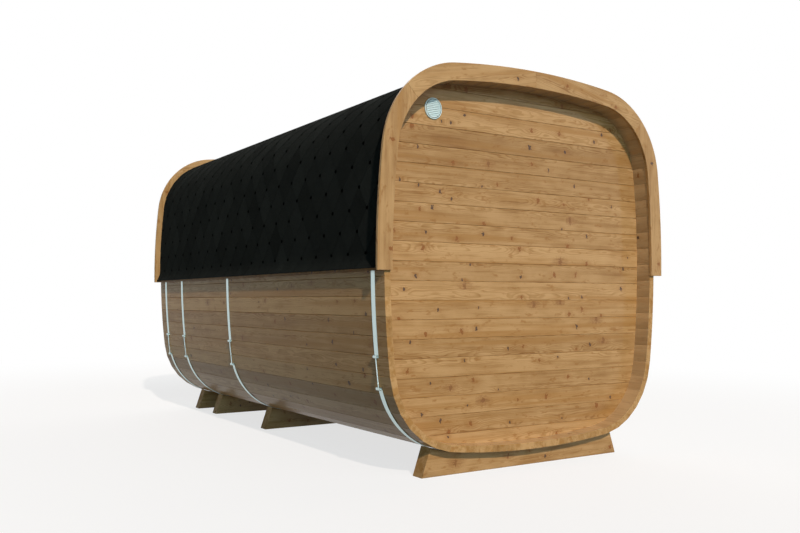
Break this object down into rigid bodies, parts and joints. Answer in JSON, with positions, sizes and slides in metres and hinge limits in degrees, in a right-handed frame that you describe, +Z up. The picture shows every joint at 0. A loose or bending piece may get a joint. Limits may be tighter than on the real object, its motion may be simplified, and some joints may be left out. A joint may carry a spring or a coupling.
{
  "type": "cube sauna cabin",
  "caption": "Staved timber sauna cabin with a rounded square section, recessed end walls, arch trims, shingle roof, steel straps and ground cradles.",
  "frame": {"origin": "on the ground, under the middle of the cabin", "axes": "+Y along the staves, from the blank rear end to the front end with the door; +X across the width, to the right as seen facing the rear end; +Z up"},
  "size_m": [2.63, 3.98, 2.686],
  "materials": {
    "stave_wood": "clear-varnished knotty softwood staves",
    "wall_wood": "clear-varnished knotty softwood boards",
    "trim_wood": "clear-varnished softwood",
    "batten_wood": "brown-stained softwood",
    "cradle_wood": "clear-varnished softwood beam",
    "door_wood": "clear-varnished softwood planks",
    "handle_wood": "turned hardwood",
    "roof_shingles": "black granule-faced bitumen shingles",
    "strap_steel": "satin steel strap",
    "rod_steel": "zinc-plated threaded rod and barrels",
    "hinge_steel": "satin steel",
    "vent_plastic": "pale satin plastic"
  },
  "bodies": {
    "root": {"shell_floor": "stave_wood", "shell_right": "stave_wood", "shell_left": "stave_wood", "shell_roof": "stave_wood", "corner_low_right": "stave_wood", "corner_low_left": "stave_wood", "corner_top_right": "stave_wood", "corner_top_left": "stave_wood", "rear_wall": "wall_wood", "front_wall_left": "wall_wood", "front_wall_right": "wall_wood", "front_wall_head": "wall_wood", "front_wall_sill": "wall_wood", "rear_trim_left": "trim_wood", "rear_trim_top_left": "trim_wood", "rear_trim_top_right": "trim_wood", "rear_trim_right": "trim_wood", "front_trim_left": "trim_wood", "front_trim_top_left": "trim_wood", "front_trim_top_right": "trim_wood", "front_trim_right": "trim_wood", "roofing_left": "roof_shingles", "roofing_top": "roof_shingles", "roofing_right": "roof_shingles", "eave_batten_left": "batten_wood", "eave_batten_right": "batten_wood", "strap_1": "strap_steel", "strap_2": "strap_steel", "strap_3": "strap_steel", "strap_4": "strap_steel", "tensioners_1": "rod_steel", "tensioners_2": "rod_steel", "tensioners_3": "rod_steel", "tensioners_4": "rod_steel", "cradle_1": "cradle_wood", "cradle_2": "cradle_wood", "cradle_3": "cradle_wood", "cradle_4": "cradle_wood", "vent_body": "vent_plastic", "vent_louvre": "vent_plastic", "door_frame": "door_wood", "door_leaf": "door_wood", "door_hinges": "hinge_steel", "door_handle": "handle_wood"}
  },
  "joints": []
}
